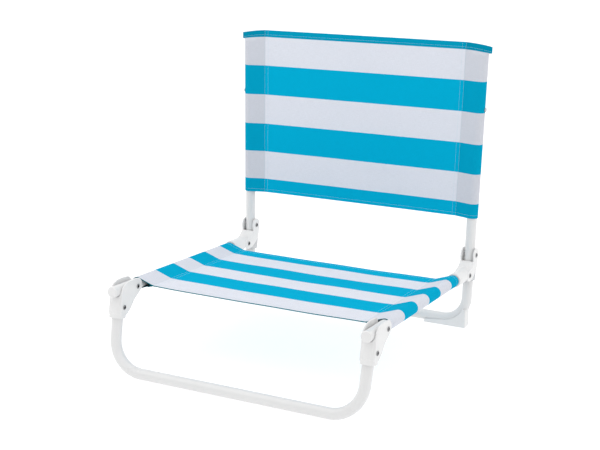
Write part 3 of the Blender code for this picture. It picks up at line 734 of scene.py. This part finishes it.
def clothPiece(name, spec, material):
    # both faces of the cloth, half a thickness each side of its middle, joined all round the cut edge
    half = spec["halfWidth"]
    apex = spec["apex"]
    marks = [(0, 40), (apex - 8 * mm, 10), (apex + 10 * mm, 8), (spec["tubeFrom"], 30), (spec["tubeTo"], 8),
             (half - (apex - spec["flap"]) - 4 * mm, 5), (half, 0)]
    runs = [np.linspace(a, b, n, endpoint=False) for (a, n), (b, _) in zip(marks, marks[1:])]
    q = np.concatenate(runs + [[half]])
    q = np.concatenate([-q[:0:-1], q])
    length, hem, f = spec["length"], spec["hem"], spec["foldRadius"]
    quarter = math.pi * f / 2
    head = np.concatenate([np.linspace(-hem, -quarter, 6, endpoint=False), np.linspace(-quarter, quarter, 7)])
    main = np.linspace(quarter, length - quarter, spec["rows"])[1:-1]
    p = np.concatenate([head, main, length - head[::-1]])
    q, p = np.meshgrid(q, p, indexing="ij")
    middle, normal = clothMiddle(spec, q, p), clothNormal(spec, q, p)
    t = spec["thickness"] / 2
    ring = np.concatenate([middle + normal * t, (middle - normal * t)[:, ::-1]], 1)
    uv = np.stack([q, p], -1)
    uv = np.concatenate([uv, uv[:, ::-1]], 1)
    rows, columns = ring.shape[:2]
    faces = gridFaces(rows, columns, False, True)
    j = np.arange(columns // 2 - 1)
    cap = np.stack([j, j + 1, columns - 2 - j, columns - 1 - j], 1)
    faces = np.concatenate([faces, cap, cap + (rows - 1) * columns])
    return makeObject(name, ring, faces, material, 60, uv)


def stitches(name, spec, rows, thread):
    # each stitch is a six-sided spindle laid on the cloth and sunk at its ends: with u from -1 to 1 along it,
    # its lift off the cloth falls with u squared
    rings, around = 5, 6
    size = rings * around
    u, t = np.meshgrid(np.linspace(-1, 1, rings), np.linspace(0, 2 * math.pi, around, endpoint=False),
                       indexing="ij")
    fat = thread["radius"] * np.sqrt(np.clip(1.05 - u ** 2, 0.05, 1))
    points, faces, count = [], [], 0
    for q, p, under in rows:
        mid = clothMiddle(spec, q, p)
        reach = np.concatenate([[0], np.cumsum(np.linalg.norm(np.diff(mid, axis=0), axis=1))])
        number = int(reach[-1] / thread["pitch"])
        at = (np.arange(number) + 0.5) * reach[-1] / number
        qs, ps = np.interp(at, reach, q), np.interp(at, reach, p)
        middle, normal = clothMiddle(spec, qs, ps), clothNormal(spec, qs, ps)
        further = at + 0.3 * mm
        qa, pa = np.interp(further, reach, q), np.interp(further, reach, p)
        ahead = clothMiddle(spec, qa, pa) - middle
        ahead /= np.linalg.norm(ahead, axis=1)[:, None] + 1e-12
        normal = -normal if under else normal
        beside = np.cross(ahead, normal)
        lift = spec["thickness"] / 2 + under + thread["radius"] * (0.55 - 0.9 * u ** 2)
        shape = (middle[:, None, None] + ahead[:, None, None] * (u * thread["length"] / 2)[None, ..., None]
                 + beside[:, None, None] * (fat * np.cos(t))[None, ..., None]
                 + normal[:, None, None] * (fat * np.sin(t) + lift)[None, ..., None])
        first = (np.arange(number) * size)[:, None, None] + count
        body = (gridFaces(rings, around, False, True)[None] + first).reshape(-1, 4)
        caps = np.array([np.arange(around)[::-1], np.arange(around) + size - around])
        caps = (caps[None] + first).reshape(-1, around)
        points.append(shape.reshape(-1, 3))
        faces += body.tolist() + caps.tolist()
        count += number * size
    return makeObject(name, np.concatenate(points), faces, sewingThread, 80)


def clothRelief(spec, x, z):
    # a little slack in the middle, slow ripples, and puckers that die away from the seams
    panel = smoothStep((spec["apex"] + 2 * mm - np.abs(x)) / (14 * mm))
    share = np.clip(np.abs(x) / spec["apex"], 0, 1)
    sag = -spec["sag"] * (1 - share ** 2)
    slow = 0.35 * mm * np.sin(x * 34 + 1.3) * np.sin(z * 21 + x * 9)
    ripple = slow + 0.2 * mm * np.sin(z * 57 + x * 23 + 0.7)
    pucker = 0.28 * mm * np.sin(z * 2 * math.pi / 0.0135 + np.sin(z * 90) * 1.2)
    nearSeam = np.exp(-((np.abs(x) - spec["apex"] + 4 * mm) / (9 * mm)) ** 2)
    return panel * (sag + ripple) + pucker * nearSeam * (np.abs(x) < spec["apex"] + 30 * mm)


def cheekScallop(spec, x, z, q):
    # an arched cut in the front edge of the lower layer, where the folded fork's inner cheek passes
    beside = np.abs(q) - spec["tubeTo"] - 10 * mm
    arch = smoothStep((14 * mm - np.abs(beside)) / (10 * mm))
    return -spec["drop"] * arch * np.clip(1 - z / (70 * mm), 0, 1)


def cornerDip(spec, x, z, q):
    # the closed corners of the pockets hang a little below the line of the top edge
    out = np.clip((np.abs(x) - spec["apex"]) / (62 * mm), 0, 1.1)
    return spec["drop"] * out ** 1.6 * spec["closing"](z)


def makeSling(name, node, body, spec, look):
    spec["start"], end = spanAlong(node, spec["origin"], spec["along"], pocketRadius)
    spec["length"] = end - spec["start"]
    spec["apex"] = spec["railX"] - spec["pocketDepth"]
    spec["flap"] = spec["apex"] - spec["flapWidth"]
    buildSection(spec)
    look["seam"] = spec["apex"]
    look["stripes"] = look["stripesFor"](spec)
    cloth = clothPiece(name, spec, stripedCanvas(name + "Canvas", look))
    finish(cloth, body, "sling_fabric", node)
    length, half, apex = spec["length"], spec["halfWidth"], spec["apex"]
    run = np.linspace(1.5 * mm, length - 1.5 * mm, 200)
    rows = []
    for side in (-1, 1):
        for place in (apex + 1 * mm, apex - 7 * mm):
            for under in (0.0, spec["layerGap"]):
                rows.append((np.full_like(run, side * place), run, under))
    sweep = np.linspace(-half + 14 * mm, half - 14 * mm, 700)
    for at in spec["stitchInset"]:
        rows.append((sweep, np.full_like(sweep, at if at > 0 else length + at), 0.0))
    sewn = stitches(name + "Stitches", spec, rows, spec["thread"])
    finish(sewn, body, "sling_fabric")
    print(name, "cut size", round(2 * half, 4), round(length + 2 * spec["hem"], 4))


# the folded-under front edge, the top hem, the doubled layers and the weave's low places are darkened as
# painted shade
canvas = {"white": (0.725, 0.745, 0.812, 1), "turquoise": (0.001, 0.405, 0.64, 1),
          "fold": (0.01, 0.17, 0.22, 1), "shadedTopHem": (0.001, 0.31, 0.49, 1), "pitch": 0.8 * mm,
          "edgeJitter": 0.9 * mm, "slub": (0.93, 1.05), "doubledLayerShade": 0.93, "weaveFurrowShade": 0.88, "bump": 0.5,
          "shader": {"Specular IOR Level": 0.01}}


def seatStripes(spec):
    # white from the front edge, then bands; the cloth folded under the front edge is turquoise, painted dark
    # teal as shade
    at = [-0.05, 1.5 * mm, 68 * mm, 136 * mm, 199 * mm, 264 * mm, 328 * mm]
    return list(zip(at, ["fold"] + ["white", "turquoise"] * 3))


def backStripes(spec):
    # from the lower edge up; the last one is the hem, two layers deep, painted a darker turquoise as shade
    at = [-0.05, 30.5 * mm, 94.3 * mm, 159.4 * mm, 224.1 * mm, 289.7 * mm, spec["length"] - 15.5 * mm]
    return list(zip(at, ["turquoise", "white"] * 3 + ["shadedTopHem"]))


seatSling = {"origin": frontPivot, "along": railDir, "face": railUp, "railX": railX, "pocketDepth": 38 * mm,
             "flapWidth": 12 * mm, "wrapRadius": 12.2 * mm, "layerGap": 0.75 * mm, "ease": 4 * mm,
             "foldRadius": 0.6 * mm, "pocketHem": 0.52, "hem": 15 * mm, "thickness": 0.55 * mm, "rows": 120,
             "closing": None, "closedGap": 0.0, "widening": lambda z: 0.0 * z,
             "dip": cheekScallop, "sag": 1.5 * mm, "drop": 12 * mm, "stitchInset": [12 * mm, -12 * mm],
             "thread": {"radius": 0.2 * mm, "length": 2.7 * mm, "pitch": 3.9 * mm}}
seatLook = dict(canvas, stripesFor=seatStripes)
makeSling("seatSling", "seat_sling", "seat", seatSling, seatLook)

uprightCenter, uprightLean, _ = straightEnds("back_upright_right")
spread = uprightLean[0] / uprightLean[2]
backStart, backEnd = spanAlong("back_sling", backPivot, backDir, pocketRadius)
xAtStart = uprightCenter[0] + spread * (backPivot[2] + backStart * backDir[2] - uprightCenter[2])


def topClosing(z):
    return 0.82 * smoothStep((z - (backEnd - backStart) + 23 * mm) / (11 * mm))


backSling = dict(seatSling, origin=backPivot, along=backDir, face=backFront, railX=xAtStart, sag=2.0 * mm,
                 closing=topClosing, closedGap=1.0 * mm, widening=lambda z: spread * z, dip=cornerDip,
                 drop=9 * mm, stitchInset=[7 * mm, -10 * mm], hem=14 * mm,
                 thread={"radius": 0.22 * mm, "length": 2.9 * mm, "pitch": 3.9 * mm})
# the back's doubled pockets get a stronger painted shade
backLook = dict(canvas, stripesFor=backStripes, doubledLayerShade=0.84)
makeSling("backSling", "back_sling", "back", backSling, backLook)
print("slings sewn")

# studio

studio = {"floor": (0.45, 0.45, 0.45, 1), "paler": (0.4545, 0.4545, 0.4545, 1), "glow": 0.70, "front": 30.0,
          "depth": 4.0, "width": 30.0, "curve": 1.5, "height": 4.0, "spacing": 0.1, "columns": 12,
          "world": 0.85, "backdrop": 1.1, "aim": (0, 0, 0.25)}


def makeFloor(spec):
    # floor that curves up into a wall: a rounded line in the side view, carried across
    corners = [(-spec["front"], 0), (spec["depth"], 0), (spec["depth"], spec["height"])]
    line = resampled(roundedLine(corners, spec["curve"], 24), spec["spacing"])
    x = np.linspace(-spec["width"], spec["width"], spec["columns"])
    x, row = np.meshgrid(x, np.arange(len(line)), indexing="ij")
    points = np.stack([x, line[row, 0], line[row, 1]], -1)
    paper, tree, shader = newMaterial("studioPaper", **{"Roughness": 0.9, "Emission Color": (1, 1, 1, 1),
                                                        "Emission Strength": spec["glow"]})
    place = addNode(tree, "ShaderNodeTexCoord").outputs["Object"]
    noise = addNode(tree, "ShaderNodeTexNoise", {"Vector": place, "Scale": 3.0})
    tint = mixColors(tree, noise.outputs["Fac"], spec["floor"], spec["paler"])
    tree.links.new(tint, shader.inputs["Base Color"])
    mesh = bpy.data.meshes.new("studioFloor")
    mesh.from_pydata(points.reshape(-1, 3).tolist(), [], gridFaces(*x.shape).tolist())
    mesh.materials.append(paper)
    mesh.shade_smooth()
    floor = bpy.data.objects.new("studioFloor", mesh)
    bpy.context.scene.collection.objects.link(floor)


def makeAir(spec):
    # even light from all round; what the camera sees of the air itself is as white as the floor:
    # strength = world + seen * (backdrop - world)
    world = bpy.data.worlds.new("studioAir")
    world.use_nodes = True
    tree = world.node_tree
    background = tree.nodes["Background"]
    background.inputs["Color"].default_value = (1, 1, 1, 1)
    seen = addNode(tree, "ShaderNodeLightPath").outputs["Is Camera Ray"]
    extra = math2(tree, "MULTIPLY", seen, spec["backdrop"] - spec["world"])
    tree.links.new(math2(tree, "ADD", extra, spec["world"]), background.inputs["Strength"])
    bpy.context.scene.world = world
    bpy.context.scene.view_settings.view_transform = "Standard"


def softbox(name, place, size, power):
    data = bpy.data.lights.new(name, "AREA")
    data.shape = "RECTANGLE"
    data.size, data.size_y = size
    data.energy = power
    obj = bpy.data.objects.new(name, data)
    obj.location = place
    aim = Vector(studio["aim"]) - Vector(place)
    obj.rotation_euler = aim.to_track_quat("-Z", "Y").to_euler()
    bpy.context.scene.collection.objects.link(obj)


makeFloor(studio)
makeAir(studio)
softbox("topLight", (-0.2, -0.2, 2.8), (3.0, 3.0), 27)
softbox("keyLight", (-1.6, -1.5, 2.0), (1.4, 1.2), 7)
softbox("fillLight", (2.2, 0.2, 1.5), (1.6, 1.4), 5)
print("studio lit")
